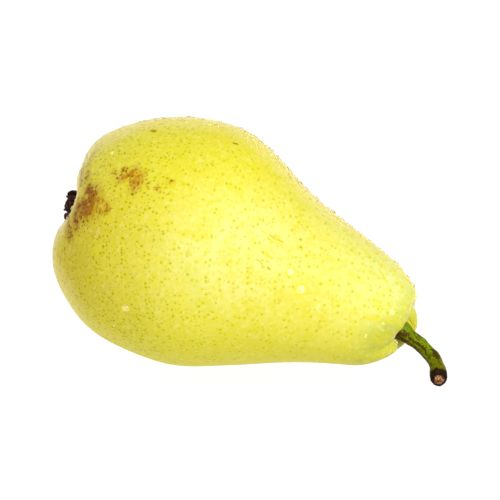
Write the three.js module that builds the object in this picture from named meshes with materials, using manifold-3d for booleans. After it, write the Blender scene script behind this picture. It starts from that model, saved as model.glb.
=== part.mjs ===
// A ripe yellow-green pear lying on its side, with its stalk and its dried calyx.
// Units are millimetres and Z is up. The pear lies along X with its stalk towards +X, and its core
// dips towards the stalk. The origin is on the surface it lies on, under the middle of the whole.
import * as THREE from "three";
import { mergeVertices } from "three/addons/utils/BufferGeometryUtils.js";
import Module from "manifold-3d";

const wasm = await Module();
wasm.setup();

// ---------------------------------------------------------------- driving dimensions
// Angles round the core are in degrees: 0 is up, 90 is towards -Y, 180 is down.
const FLESH_COLOUR = 0xd9cf3c;
const STALK_COLOUR = 0x6d7d1c;
const CALYX_COLOUR = 0x2e1d12;

// Half of the fruit cut lengthwise: distance along the core from the calyx end, and radius.
// It runs from the calyx seat over the belly and the neck down to the stalk's socket.
const OUTLINE = [
  [6.0, 0],
  [5.9, 2.3],
  [4.9, 3.6],
  [2.9, 5.2],
  [0.9, 8.6],
  [0.0, 13.0],
  [2.4, 19.2],
  [8.0, 24.5],
  [17.5, 30.3],
  [29.0, 33.0],
  [42.0, 32.5],
  [56.0, 27.0],
  [70.0, 21.6],
  [83.0, 16.8],
  [92.0, 13.4],
  [97.3, 9.6],
  [98.7, 6.9],
  [97.2, 4.7],
  [94.0, 3.0],
  [90.4, 2.6],
  [89.8, 0],
];
const RINGS_PER_STEP = 3;
const SEGMENTS = 60;

const CORE_TILT = 15.4; // degrees that the core dips towards the stalk as the fruit lies
const CORE_BOW = 1.6; // how far the core bows up in the belly
const CORE_BOW_AT = 38;
const CORE_BOW_WIDTH = 30;
const FLAT_DEPTH = 0.8; // how much of the belly the resting spot takes off

// The rim of the calyx basin: it leans, and furrows run out of the basin over it.
const RIM_RADIUS = 14;
const RIM_WIDTH = 9;
const BASIN_RADIUS = 4; // the basin's floor stays true below this radius, to fit the calyx
const BASIN_FADE_RADIUS = 8;
const RIM_REACH = 16;
const RIM_LEAN = 1.7; // how much lower the rim stands on the -Y side
const RIM_LEAN_REACH = 40;
const RIM_FURROWS = [
  { angle: 71, depth: 3.9, width: 28 },
  { angle: 168, depth: 1.1, width: 20 },
  { angle: 236, depth: 1.6, width: 24 },
  { angle: 302, depth: 1.0, width: 20 },
  { angle: 20, depth: 1.2, width: 22 },
];

// The stalk's socket sits below the core's line, among the lobes and folds of the shoulder.
const SOCKET_DROP = 1.2;
const SOCKET_RADIUS = 4; // the drop fades out from this radius to the next
const SOCKET_FADE_RADIUS = 9;
const SOCKET_FROM = 80;
const SOCKET_TO = 88;
const SHOULDER_FROM = 80;
const SHOULDER_TO = 97;
const SHOULDER_LOBES = [
  { angle: 60, rise: -0.5, width: 34 },
  { angle: 108, rise: -2.3, width: 26 },
  { angle: 176, rise: -1.7, width: 30 },
  { angle: 12, rise: -0.8, width: 24 },
  { angle: 252, rise: 1.0, width: 24 },
  { angle: 314, rise: -1.9, width: 26 },
];
// Short folds that run a little way out of the socket, over its lip.
const LIP_FOLDS_FROM = 90;
const LIP_FOLDS = [
  { angle: 131, depth: 1.9, width: 12 },
  { angle: 224, depth: 0.5, width: 8 },
  { angle: 292, depth: 0.6, width: 9 },
];
const LIP_START_RADIUS = 3.2; // the socket's wall below this radius stays true, to fit the stalk
const LIP_FULL_RADIUS = 7;

// Gentle swells and hollows of the skin: place along the core, angle, height, and widths.
const SWELLS = [
  { along: 20, angle: 343, height: -0.6, length: 12, width: 48 },
  { along: 64, angle: 343, height: -1.3, length: 11, width: 48 },
  { along: 13, angle: 165, height: 0.8, length: 11, width: 45 },
  { along: 40, angle: 170, height: 0.35, length: 12, width: 45 },
  { along: 56, angle: 170, height: 0.45, length: 12, width: 45 },
  { along: 74, angle: 165, height: -0.7, length: 12, width: 45 },
  { along: 92, angle: 160, height: 0.6, length: 6, width: 35 },
  { along: 30, angle: 95, height: 0.5, length: 18, width: 40 },
  { along: 26, angle: 215, height: 0.6, length: 16, width: 34 },
  { along: 46, angle: 262, height: -0.6, length: 18, width: 30 },
  { along: 22, angle: 300, height: 0.7, length: 15, width: 32 },
  { along: 74, angle: 250, height: 0.5, length: 12, width: 36 },
];
const SWELL_START_RADIUS = 4; // the swells fade in between these two radii
const SWELL_FULL_RADIUS = 16;

// The stalk's middle line, from its root in the socket to its tip, measured from the mouth of
// the socket with the pear lying down.
const SOCKET_MOUTH_ALONG = 97.4;
const STALK_ROUTE = [
  [-6.1, 0, 0.45],
  [-3.6, -0.1, -0.35],
  [-1.4, -0.3, -1.5],
  [1.0, -0.8, -3.1],
  [3.4, -1.5, -4.3],
  [6.2, -2.6, -6.1],
  [8.4, -3.9, -7.8],
  [9.9, -5.5, -9.5],
  [11.0, -8.2, -12.0],
];
// The stalk's radius from root to tip, as shares of its length: it ends in a flared dark collar.
const STALK_RADII = [
  [0, 2.1],
  [0.24, 2.65],
  [0.38, 2.0],
  [0.5, 1.85],
  [0.74, 1.85],
  [0.84, 1.95],
  [0.88, 2.3],
  [0.96, 2.35],
  [1, 2.05],
];
const STALK_SIDES = 18;
const STALK_STEPS = 30;
const STALK_END_SLANT = 0.55; // how steeply the broken end leans to face forward
const STALK_END_FROM = 0.84;
const STALK_END_FACING = new THREE.Vector3(0.2, -0.8, 0.5).normalize();
const SCAR_SHARPNESS = 4; // how quickly a scar fades round the stalk
const STALK_SCARS = [
  { at: 0.5, facing: new THREE.Vector3(0.5, 0.2, 0.85), height: 0.4, length: 0.035 },
  { at: 0.72, facing: new THREE.Vector3(0.85, -0.1, 0.5), height: 0.5, length: 0.05 },
  { at: 0.33, facing: new THREE.Vector3(-0.2, 0.9, -0.4), height: 0.35, length: 0.05 },
];

// The calyx: a cup in the basin and five dried sepals that stand out of it.
// Each sepal has its angle round the core, where it bends and ends as distance along the core and
// radius, how far its tip curls sideways, and how many degrees its blade twists.
const CALYX_CUP = [
  [4.0, 0],
  [3.7, 2.0],
  [3.2, 3.0],
  [3.7, 3.5],
  [4.6, 3.1],
  [5.5, 2.0],
  [5.6, 0],
];
const CUP_SEGMENTS = 20;
const SEPALS = [
  { angle: 352, bend: [0.2, 3.3], tip: [-1.5, 2.1], curl: 0.5, twist: 55 },
  { angle: 82, bend: [1.4, 3.9], tip: [-0.4, 3.5], curl: -0.7, twist: 0 },
  { angle: 166, bend: [-0.1, 3.4], tip: [-0.4, 4.8], curl: 0.6, twist: 35 },
  { angle: 232, bend: [0.6, 3.7], tip: [-1.3, 3.6], curl: -0.5, twist: -40 },
  { angle: 298, bend: [0.6, 3.7], tip: [-1.4, 3.1], curl: 0.8, twist: 30 },
];
const SEPAL_ROOT = [4.2, 2.5];
const SEPAL_BEND_TURN = 4; // degrees that a full sideways curl turns the bend, and then the tip
const SEPAL_TIP_TURN = 22;
const SEPAL_HALF_WIDTH = 1.9;
const SEPAL_TAPER = 0.7;
const SEPAL_HALF_THICKNESS = 0.42;
const SEPAL_SIDES = 8;
const SEPAL_STEPS = 8;

// The withered heart of the flower between the sepals: a lumpy dome, and stubs of its stamens.
const HEART = [
  [-1.2, 0],
  [-1.0, 1.7],
  [-0.3, 2.9],
  [1.0, 3.3],
  [3.0, 3.1],
  [5.2, 2.2],
  [5.2, 0],
];
const HEART_SEGMENTS = 18;
const HEART_LUMPS = [
  { count: 5, height: 0.35, turn: 20 },
  { count: 3, height: 0.3, turn: 75 },
];
const STAMEN_COUNT = 5;
const STAMEN_RADIUS = 0.4;
const STAMEN_ROOT = { along: 2.0, radius: 1.4 };
const STAMEN_TIP = { along: -1.5, radius: 2.2, turn: 14 };
const STAMEN_TIP_STEP = 0.7; // every second stamen is shorter by this much
const STAMEN_SIDES = 6;

// ---------------------------------------------------------------- helpers
const { degToRad, radToDeg, smoothstep, lerp } = THREE.MathUtils;
const bell = (distance, width) => Math.exp(-((distance / width) ** 2));

// Shortest way round between two angles in degrees.
function angleBetween(a, b) {
  return Math.abs(((a - b + 540) % 360) - 180);
}

// A value read off a list of [place, value] pairs, eased between neighbours.
function readOff(pairs, place) {
  const next = pairs.findIndex(([at]) => at >= place);
  if (next <= 0) return pairs[0][1];
  const [from, before] = pairs[next - 1];
  const [to, after] = pairs[next];
  return lerp(before, after, smoothstep(place, from, to));
}

// Only positions, with shared vertices merged, so that the surface is one closed skin.
function closedSkin(geometry) {
  geometry.deleteAttribute("normal");
  geometry.deleteAttribute("uv");
  return mergeVertices(geometry, 1e-3);
}

function movePoints(geometry, move) {
  const position = geometry.attributes.position;
  const point = new THREE.Vector3();
  for (let i = 0; i < position.count; i++) {
    move(point.fromBufferAttribute(position, i));
    position.setXYZ(i, point.x, point.y, point.z);
  }
  geometry.computeVertexNormals();
  return geometry;
}

function solidOf(skin) {
  return new wasm.Manifold(
    new wasm.Mesh({
      numProp: 3,
      vertProperties: skin.attributes.position.array,
      triVerts: new Uint32Array(skin.index.array),
    }),
  );
}

function fuse(skins) {
  const whole = skins.map(solidOf).reduce((sum, solid) => sum.add(solid));
  const { vertProperties, triVerts } = whole.getMesh();
  const geometry = new THREE.BufferGeometry();
  geometry.setAttribute("position", new THREE.BufferAttribute(vertProperties, 3));
  geometry.setIndex(new THREE.BufferAttribute(triVerts, 1));
  geometry.computeVertexNormals();
  return geometry;
}

function meshOf(name, geometry, colour, roughness) {
  const material = new THREE.MeshStandardMaterial({ color: colour, roughness, metalness: 0 });
  const mesh = new THREE.Mesh(geometry, material);
  mesh.name = name;
  return mesh;
}

// A lathe round the core, from pairs of distance along it and radius that start and end on it.
function turnedOnCore(pairs, segments) {
  const profile = pairs.map(([along, radius]) => new THREE.Vector2(radius, along));
  const skin = closedSkin(new THREE.LatheGeometry(profile, segments));
  return movePoints(skin, (p) => p.set(p.y, -p.x, p.z));
}

// A closed rod whose rings follow a curve. sizeAt gives a point's place off the middle line
// from how far along it is (0 to 1), its direction off the line, and the line's own direction.
function rodAlong(curve, steps, sides, sizeAt) {
  const { tangents, normals, binormals } = curve.computeFrenetFrames(steps, false);
  const rod = closedSkin(new THREE.CylinderGeometry(1, 1, 1, sides, steps));
  return movePoints(rod, (p) => {
    const share = p.y + 0.5;
    const ring = Math.round(share * steps);
    const off = new THREE.Vector3()
      .addScaledVector(normals[ring], p.x)
      .addScaledVector(binormals[ring], -p.z);
    p.copy(curve.getPointAt(share)).add(sizeAt(share, off, tangents[ring]));
  });
}

// ---------------------------------------------------------------- the core's own frame
function coreBow(along) {
  return CORE_BOW * bell(along - CORE_BOW_AT, CORE_BOW_WIDTH);
}

const lying = new THREE.Matrix4().makeRotationY(degToRad(CORE_TILT));
const stalkwards = new THREE.Vector3(1, 0, 0).applyMatrix4(lying);
const upFromCore = new THREE.Vector3(0, 0, 1).applyMatrix4(lying);

// The point at a distance along the core, a radius and an angle, with the pear lying down.
function onCore(along, radius, angle) {
  const turn = degToRad(angle);
  const point = new THREE.Vector3(along, -radius * Math.sin(turn), radius * Math.cos(turn));
  point.z += coreBow(along);
  return point.applyMatrix4(lying);
}

// ---------------------------------------------------------------- fruit
function rimSink(along, radius, angle) {
  const furrows = RIM_FURROWS.reduce(
    (sum, f) => sum + f.depth * bell(angleBetween(angle, f.angle), f.width),
    0,
  );
  const onRim = bell(radius - RIM_RADIUS, RIM_WIDTH) * (1 - smoothstep(along, 0, RIM_REACH));
  const clearOfCup = smoothstep(radius, BASIN_RADIUS, BASIN_FADE_RADIUS);
  const lean = RIM_LEAN * Math.sin(degToRad(angle)) * Math.min(radius / RIM_RADIUS, 1);
  return furrows * onRim * clearOfCup + lean * (1 - smoothstep(along, 0, RIM_LEAN_REACH));
}

function shoulderRise(along, radius, angle) {
  const lobes = SHOULDER_LOBES.reduce(
    (sum, l) => sum + l.rise * bell(angleBetween(angle, l.angle), l.width),
    0,
  );
  const folds = LIP_FOLDS.reduce(
    (sum, f) => sum + f.depth * bell(angleBetween(angle, f.angle), f.width),
    0,
  );
  const clearOfStalk = smoothstep(radius, LIP_START_RADIUS, LIP_FULL_RADIUS);
  const onShoulder = lobes * smoothstep(along, SHOULDER_FROM, SHOULDER_TO);
  const overLip = folds * smoothstep(along, LIP_FOLDS_FROM, SHOULDER_TO);
  return (onShoulder - overLip) * clearOfStalk;
}

function socketDrop(along, radius) {
  const inSocket = 1 - smoothstep(radius, SOCKET_RADIUS, SOCKET_FADE_RADIUS);
  return SOCKET_DROP * inSocket * smoothstep(along, SOCKET_FROM, SOCKET_TO);
}

function swell(along, radius, angle) {
  const height = SWELLS.reduce(
    (sum, s) =>
      sum +
      s.height * bell(along - s.along, s.length) * bell(angleBetween(angle, s.angle), s.width),
    0,
  );
  return height * smoothstep(radius, SWELL_START_RADIUS, SWELL_FULL_RADIUS);
}

function makeFruit() {
  const outline = new THREE.CatmullRomCurve3(
    OUTLINE.map(([along, radius]) => new THREE.Vector3(along, radius, 0)),
  );
  const rings = outline.getPoints((OUTLINE.length - 1) * RINGS_PER_STEP);
  const pairs = rings.map((p) => [p.x, Math.max(p.y, 0)]);
  pairs[0][1] = 0;
  pairs[pairs.length - 1][1] = 0;
  const skin = turnedOnCore(pairs, SEGMENTS);
  movePoints(skin, (p) => {
    const along = p.x;
    const radius = Math.hypot(p.y, p.z);
    const angle = radToDeg(Math.atan2(-p.y, p.z));
    const end = rimSink(along, radius, angle) + shoulderRise(along, radius, angle);
    const out = radius + swell(along, radius, angle);
    p.copy(onCore(along, out, angle));
    p.addScaledVector(stalkwards, end).addScaledVector(upFromCore, -socketDrop(along, radius));
  });
  skin.computeBoundingBox();
  const flat = skin.boundingBox.min.z + FLAT_DEPTH;
  return movePoints(skin, (p) => p.setZ(Math.max(p.z, flat)));
}

// ---------------------------------------------------------------- stalk
function makeStalk() {
  const mouth = onCore(SOCKET_MOUTH_ALONG, 0, 0);
  const route = new THREE.CatmullRomCurve3(
    STALK_ROUTE.map((offset) => new THREE.Vector3(...offset).add(mouth)),
  );
  return rodAlong(route, STALK_STEPS, STALK_SIDES, (share, off, tangent) => {
    const facing = off.clone().normalize();
    const scars = STALK_SCARS.reduce((sum, scar) => {
      const towards = Math.max(facing.dot(scar.facing.clone().normalize()), 0);
      return sum + scar.height * bell(share - scar.at, scar.length) * towards ** SCAR_SHARPNESS;
    }, 0);
    const slant = STALK_END_SLANT * smoothstep(share, STALK_END_FROM, 1);
    off.multiplyScalar(readOff(STALK_RADII, share) + scars);
    return off.addScaledVector(tangent, -slant * off.dot(STALK_END_FACING));
  });
}

// ---------------------------------------------------------------- calyx
function makeSepal({ angle, bend, tip, curl, twist }) {
  const middle = new THREE.CatmullRomCurve3([
    onCore(...SEPAL_ROOT, angle),
    onCore(...bend, angle + SEPAL_BEND_TURN * curl),
    onCore(...tip, angle + SEPAL_TIP_TURN * curl),
  ]);
  const outward = onCore(0, 1, angle).sub(onCore(0, 0, angle));
  return rodAlong(middle, SEPAL_STEPS, SEPAL_SIDES, (share, off, tangent) => {
    const across = tangent.clone().cross(outward).normalize();
    const through = across.clone().cross(tangent).normalize();
    const width = SEPAL_HALF_WIDTH * (1 - SEPAL_TAPER * share ** 1.5);
    return new THREE.Vector3()
      .addScaledVector(across, off.dot(across) * width)
      .addScaledVector(through, off.dot(through) * SEPAL_HALF_THICKNESS)
      .applyAxisAngle(tangent, degToRad(twist * share));
  });
}

function makeHeart() {
  const heart = turnedOnCore(HEART, HEART_SEGMENTS);
  return movePoints(heart, (p) => {
    const radius = Math.hypot(p.y, p.z);
    const angle = radToDeg(Math.atan2(-p.y, p.z));
    const lumps = HEART_LUMPS.reduce(
      (sum, l) => sum + l.height * Math.sin(degToRad(l.count * (angle - l.turn))),
      0,
    );
    p.copy(onCore(p.x, radius + lumps * smoothstep(radius, 0, 1), angle));
  });
}

function makeStamen(index) {
  const angle = (index * 360) / STAMEN_COUNT + STAMEN_TIP.turn;
  const line = new THREE.LineCurve3(
    onCore(STAMEN_ROOT.along, STAMEN_ROOT.radius, angle),
    onCore(
      STAMEN_TIP.along + STAMEN_TIP_STEP * (index % 2),
      STAMEN_TIP.radius,
      angle + STAMEN_TIP.turn,
    ),
  );
  return rodAlong(line, 2, STAMEN_SIDES, (share, off) => off.multiplyScalar(STAMEN_RADIUS));
}

function makeCalyx() {
  const cup = turnedOnCore(CALYX_CUP, CUP_SEGMENTS);
  movePoints(cup, (p) => p.setZ(p.z + coreBow(p.x)).applyMatrix4(lying));
  const stamens = Array.from({ length: STAMEN_COUNT }, (_, index) => makeStamen(index));
  return fuse([cup, makeHeart(), ...SEPALS.map(makeSepal), ...stamens]);
}

// ---------------------------------------------------------------- assembly
const pear = new THREE.Group();
pear.add(meshOf("fruit", makeFruit(), FLESH_COLOUR, 0.42));
pear.add(meshOf("stalk", makeStalk(), STALK_COLOUR, 0.6));
pear.add(meshOf("calyx", makeCalyx(), CALYX_COLOUR, 0.85));

const bounds = new THREE.Box3().setFromObject(pear, true);
const middle = bounds.getCenter(new THREE.Vector3());
pear.position.set(-middle.x, -middle.y, -bounds.min.z);
pear.updateMatrixWorld(true);

export default pear;
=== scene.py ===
"""A pear that lies on its side: its skin, stalk and dried calyx, and the water on its skin.

Lengths are in metres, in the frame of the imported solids: +Z is up from the surface that the pear lies on, and
+X runs from the calyx to the stalk. Sizes named with _MM are in millimetres. A reach is a pair of values:
where something begins and is full, or is full and ends.
"""

import math
import random

import bpy
from bpy.props import FloatProperty, FloatVectorProperty, IntProperty, PointerProperty
from mathutils import Matrix, Vector
from mathutils.bvhtree import BVHTree
from mathutils.geometry import intersect_point_line


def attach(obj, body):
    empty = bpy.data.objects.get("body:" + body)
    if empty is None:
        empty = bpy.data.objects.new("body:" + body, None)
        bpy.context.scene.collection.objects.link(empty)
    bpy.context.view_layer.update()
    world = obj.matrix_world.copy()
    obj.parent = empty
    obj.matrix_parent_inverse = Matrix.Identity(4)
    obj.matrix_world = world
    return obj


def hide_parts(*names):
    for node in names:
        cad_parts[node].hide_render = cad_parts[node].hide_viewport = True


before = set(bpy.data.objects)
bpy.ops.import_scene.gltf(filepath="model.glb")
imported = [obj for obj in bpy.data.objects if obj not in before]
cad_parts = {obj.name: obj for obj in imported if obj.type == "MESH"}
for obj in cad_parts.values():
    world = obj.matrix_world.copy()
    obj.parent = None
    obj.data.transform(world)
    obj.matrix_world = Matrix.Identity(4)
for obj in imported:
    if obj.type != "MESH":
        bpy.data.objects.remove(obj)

bl_info = {
    "name": "Pear",
    "version": (1, 0, 0),
    "blender": (4, 5, 0),
    "location": "3D View > Sidebar > Pear",
    "description": "Dresses a pear with spotted skin, a stalk, a dried calyx and drops of water",
    "category": "Object",
}

MM = 0.001
BODY = "root"
KEY_LIT = "lit by the key light"
# Places on the skin are given as pixels of the camera's view, which is this many pixels wide and high.
VIEW_SIDE = 500.0

# Marks on the skin, each from one pixel to another, with half its width in mm and its strength.
RUSSET_MARKS = (
    ((88.6, 188.5), (92.2, 195.5), 1.1, 1.0),
    ((92.0, 196.5), (90.0, 209.0), 1.9, 1.0),
    ((94.6, 199.0), (100.2, 199.4), 0.7, 0.9),
    ((84.5, 204.0), (86.0, 212.0), 1.8, 0.85),
    ((79.0, 205.5), (81.0, 214.0), 1.5, 0.75),
    ((75.0, 213.5), (76.8, 225.0), 1.3, 0.75),
    ((68.6, 219.0), (70.6, 236.0), 1.2, 0.6),
    ((99.5, 203.5), (97.0, 213.0), 1.1, 0.45),
    ((106.6, 205.8), (106.6, 210.6), 0.6, 0.9),
    ((103.0, 199.8), (103.2, 202.0), 0.4, 0.7),
    ((86.6, 174.0), (87.2, 178.0), 0.9, 0.45),
    ((82.0, 169.0), (81.0, 184.0), 1.1, 0.45),
    ((94.0, 152.0), (87.0, 166.0), 1.1, 0.3),
    ((134.0, 173.0), (137.5, 176.5), 1.2, 1.0),
    ((120.5, 177.8), (132.0, 174.6), 0.9, 0.8),
    ((124.5, 169.0), (127.0, 172.0), 0.6, 0.6),
    ((135.4, 181.5), (134.0, 188.0), 1.0, 0.85),
    ((113.0, 172.5), (116.0, 174.5), 0.6, 0.6),
    ((146.5, 184.2), (147.5, 184.2), 0.5, 0.6),
    ((152.6, 130.6), (154.2, 131.3), 0.5, 0.9),
    ((157.0, 188.0), (158.0, 188.4), 0.5, 0.6),
    ((169.2, 182.0), (170.6, 182.6), 0.5, 0.6),
)
# Thin scratches and dark specks, given in the same way.
SCRATCHES = (
    ((269.6, 234.9), (274.9, 238.9), 0.16, 0.55),
    ((278.6, 240.0), (282.9, 242.2), 0.22, 0.5),
    ((256.9, 258.9), (262.7, 264.2), 0.14, 0.6),
    ((267.8, 267.6), (269.5, 269.3), 0.20, 0.8),
    ((233.8, 143.3), (237.2, 144.0), 0.45, 1.0),
    ((136.5, 172.8), (136.9, 173.2), 0.35, 1.0),
    ((285.8, 327.4), (286.4, 327.8), 0.20, 0.9),
    ((300.3, 239.4), (300.8, 239.6), 0.35, 0.7),
    ((300.4, 247.0), (300.9, 247.4), 0.38, 0.7),
    ((236.2, 227.8), (237.4, 227.9), 0.24, 0.6),
    ((152.4, 130.6), (154.4, 131.4), 0.7, 1.0),
)
# Wrinkles in the lip behind the stalk, given in the same way. They are drawn as dark lines, painted shade in
# their creases.
WRINKLES = (
    ((408.6, 317.6), (411.4, 321.8), 0.16, 0.8),
    ((410.4, 316.6), (414.0, 321.6), 0.14, 0.7),
    ((412.8, 316.8), (415.4, 320.8), 0.12, 0.5),
    ((409.4, 319.8), (412.6, 325.0), 0.16, 0.8),
    ((412.6, 321.4), (415.0, 326.0), 0.14, 0.7),
    ((412.0, 325.0), (414.6, 329.4), 0.14, 0.7),
    ((414.4, 326.6), (415.6, 330.4), 0.12, 0.5),
)
# Dark patches of the stalk's bark, given in the same way.
STALK_MARKS = (
    ((398.5, 333.0), (405.0, 335.5), 0.75, 1.0),
    ((404.0, 331.0), (409.0, 335.0), 0.50, 0.8),
    ((409.0, 337.5), (417.0, 344.0), 0.45, 0.9),
    ((417.5, 343.5), (425.0, 349.5), 0.50, 0.9),
    ((424.5, 348.5), (426.5, 354.0), 0.35, 0.8),
    ((427.8, 355.0), (430.0, 359.0), 0.35, 0.7),
    ((434.0, 350.5), (437.0, 356.5), 0.95, 1.0),
    ((437.0, 357.0), (440.5, 364.5), 0.35, 0.6),
    ((418.0, 334.5), (422.0, 337.2), 0.35, 0.9),
    ((411.5, 331.0), (415.0, 334.5), 0.28, 0.7),
)

# Drops on the near side: the pixel that each sits at, and its diameter in mm. Round each of the largest, a
# richer golden ring on the skin is painted shade under the drop's edge.
SHADE_RINGED_DROPS = (
    (301.0, 289.5, 2.5),
    (290.5, 272.0, 1.9),
    (125.7, 308.0, 2.3),
)
SINGLE_DROPS = (
    *SHADE_RINGED_DROPS,
    (114.0, 325.0, 0.9),
    (318.0, 306.6, 1.2),
    (392.0, 312.0, 1.5),
    (383.0, 323.5, 0.9),
    (365.6, 336.0, 0.9),
    (388.0, 278.0, 1.1),
    (397.0, 298.0, 0.8),
    (415.6, 297.0, 1.5),
    (89.5, 156.0, 1.9),
    (113.0, 153.0, 1.4),
    (182.0, 246.0, 1.2),
    (270.0, 210.5, 0.8),
)
# Drops on the far shoulder, given in the same way.
SHOULDER_DROPS = (
    (246.0, 132.5, 2.0),
    (260.0, 142.5, 2.4),
    (267.0, 148.5, 2.0),
    (279.0, 160.5, 2.3),
    (287.0, 169.5, 2.4),
    (300.0, 183.5, 2.3),
    (332.0, 213.5, 2.0),
    (369.0, 241.5, 1.9),
)

# The stalk's centre line from its root to its broken end, and which way that end faces.
STALK_LINE_MM = (
    (36.2, 0.3, 15.3),
    (38.7, 0.2, 14.5),
    (40.9, 0.0, 13.3),
    (43.3, -0.5, 11.7),
    (45.7, -1.2, 10.5),
    (48.5, -2.3, 8.7),
    (50.7, -3.6, 7.0),
    (52.2, -5.2, 5.3),
    (53.3, -7.9, 2.8),
)
STALK_END_FACING = (0.4, -0.9, -0.2)

# The middle of the calyx, and of the mouth of the stalk's socket.
CALYX_CENTRE_MM = (-49.5, 0.2, 40.6)
SOCKET_CENTRE_MM = (42.0, -2.0, 9.0)
# The middle of a painted highlight on the near side of the belly.
PAINTED_HIGHLIGHT_MM = (5.0, -28.0, 40.0)

# How often each face of a solid is divided in four, and how near two of its corners are one.
DIVISIONS = 2
ONE_CORNER_MM = 0.005

# The stage. The light of a pale wall is full where a direction's cosine to the wall's direction is WALL_FULL.
SENSOR_WIDTH_MM = 36
CLIP_START = 0.01
KEY_LIGHT_PLACE = (0.825, -0.692, 0.708)
KEY_LIGHT_AIM = (0.0, 0.0, 0.035)
KEY_LIGHT_SIZE = 0.8
WALL_DIRECTION = (-0.9, 0.42, -0.2)
WALL_FULL = 0.8
FLOOR_SIZE = 8
FLOOR_DROP_MM = 0.05

# The dewy side of the fruit is the far side, turned from the camera. How far the skin faces that way runs
# from -1, for turned away, to 1, for squarely. Low down, where the skin's normal dips, dew thins out. The same
# mask gives the skin a pale sheen, strongest round the outline that the camera sees: partly fine dew, partly
# a painted reflection of the bright room round the rim.
DEW_DIRECTION = (-0.28, 0.93, -0.25)
DEW_FACING = (-0.5, -0.08)
DEW_RISING = (-0.85, -0.25)
# Where the skin faces squarely that way, the dew has run together into drops, and this share of it is left.
# This also keeps the painted sheen strongest at the outline.
DEW_THINNING = (0.1, 0.6)
DEW_LEFT = 0.3

# Water: the light that passes it, and how clear it is, on the near side and on the far side. The far side's
# copy is greyed, which is painted shade.
CLEAR_WATER = ((1.0, 1.0, 1.0), 0.9)
SHADED_WATER = ((0.66, 0.66, 0.58), 0.95)
# A dome of water reaches below its base by this share of its height, so that no gap shows under it.
DOME_FOOT = 0.25
# How many sides and rings the ball has that a dome is cut from.
DROP_DETAIL = (24, 12)
DEW_DETAIL = (10, 6)
MIST_DETAIL = (7, 4)
# Widths and heights of drops, as shares of their length.
DROP_WIDTHS = (0.88, 1.0)
DROP_HEIGHT = 0.26
DEW_WIDTHS = (0.7, 1.0)
DEW_HEIGHTS = (0.24, 0.36)
# The smallest scattered drop, as a share of a middling one, how much larger the largest is, how rare large
# ones are, and how many places are tried for each drop.
SCATTER_LEAST = 0.5
SCATTER_RANGE = 1.7
SCATTER_RARENESS = 2.5
TRIES_FOR_EACH = 3
# Scattered drops lie on skin that faces up by at least this. Few lie before the first of these lengths along
# the fruit, and all that can lie past the second.
DROPS_RISING = 0.3
DROPS_ALONG_MM = (-35.0, -5.0)
DROPS_FEW = 0.15

# Soft noise: the width of its lumps in mm, its detail and its roughness.
SKIN_NOISE = {
    "drift": (22.0, 2.0, 0.5),
    "broad": (11.0, 3.0, 0.5),
    "waves": (6.0, 2.0, 0.5),
    "fine": (3.4, 3.0, 0.6),
    "cloud": (3.2, 4.0, 0.65),
    "mottle": (1.5, 2.0, 0.6),
    "grain": (0.9, 3.0, 0.7),
    "peel": (0.8, 3.0, 0.6),
}
STREAK_NOISE = (0.55, 4.0, 0.65)
BLOT_NOISE = (1.1, 4.0, 0.7)
SPECK_NOISE = (0.42, 3.0, 0.7)
FIBRE_NOISE = (0.42, 4.0, 0.75)
FOLD_NOISE = (1.0, 4.0, 0.7)
CRUMB_NOISE = (0.3, 3.0, 0.7)
RUFFLE_ROUGHNESS = (3.0, 0.6)
# How far noise is drawn out: along, beside and above the stalk's centre line, or along the frame's axes.
STREAK_STRETCH = (0.35, 1.0, 1.0)
BLOT_STRETCH = (0.5, 1.0, 1.0)
FIBRE_STRETCH = (1.0, 1.6, 0.45)
FOLD_STRETCH = (1.0, 1.8, 1.8)
# How wide and how deep the ruffles are that make an edge ragged.
RUSSET_RUFFLES_MM = (1.6, 3.2)
SCRATCH_RUFFLES_MM = (0.8, 0.5)
BARK_RUFFLES_MM = (0.6, 1.1)

# How far the borders between the skin's ground colours wander.
DRIFT_MM = 26.0
# Reaches of those colours, along the fruit, up it, or away from a middle.
BELLY_MM = (-47.0, -4.0)
NECK_MM = (12.0, 40.0)
PAINTED_HIGHLIGHT_REACH_MM = (6.0, 26.0)
LOW_SIDE_MM = (8.0, 32.0)
HIGH_SIDE_MM = (42.0, 60.0)
SIDES_END_MM = (30.0, 46.0)
SOCKET_REACH_MM = (10.0, 19.0)
# How far those colours hide the ones under them.
PAINTED_HIGHLIGHT_SHARE = 0.8
SIDES_SHARE = 0.85
SOCKET_SHARE = 0.9
# The reach of brown pores, along the fruit.
BROWN_PORES_MM = (-44.0, 4.0)
# Reaches of flecks of russet and of golden russet, away from the calyx.
FLECKS_MM = (9.0, 30.0)
YOUNG_RUSSET_MM = (25.0, 33.0)
# Reaches of the stalk's olive bark, dark collar and broken wood, away from the middle of its broken end, and
# of the wood along the way that the end faces.
OLIVE_END_MM = (4.0, 7.5)
COLLAR_MM = (2.9, 3.4)
WOOD_MM = (1.0, 1.5)
WOOD_DEPTH_MM = (-0.5, -0.25)

# Pores: the smallest, as a share of a middling one, and how much larger the largest is. The reaches of a pore
# and of its halo are in its own radii, and it shows by how high its random number is. Small pores and specks
# lie closer than large pores, and a seed shifts a set of them against the others.
PORE_LEAST = 0.45
PORE_RANGE = 0.9
PORE_EDGE = (0.2, 1.3)
HALO_EDGE = (0.5, 3.2)
PORES_SEEN = (0.35, 0.9)
CLOSE_CELL = 0.8
SMALL_RADIUS = 0.65
SPECK_RADIUS = 1.1
LARGE_SEED = 3.1
SMALL_SEED = 17.9
SPECK_SEED = 9.3
# The reaches of a mark and its wash are in its own half widths, and those of a ring of painted shade in its
# drop's diameters.
MARK_EDGE = (0.3, 1.3)
WASH_EDGE = (0.4, 3.0)
RING_INSIDE = (0.38, 0.5)
RING_OUTSIDE = (0.54, 0.9)
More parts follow.
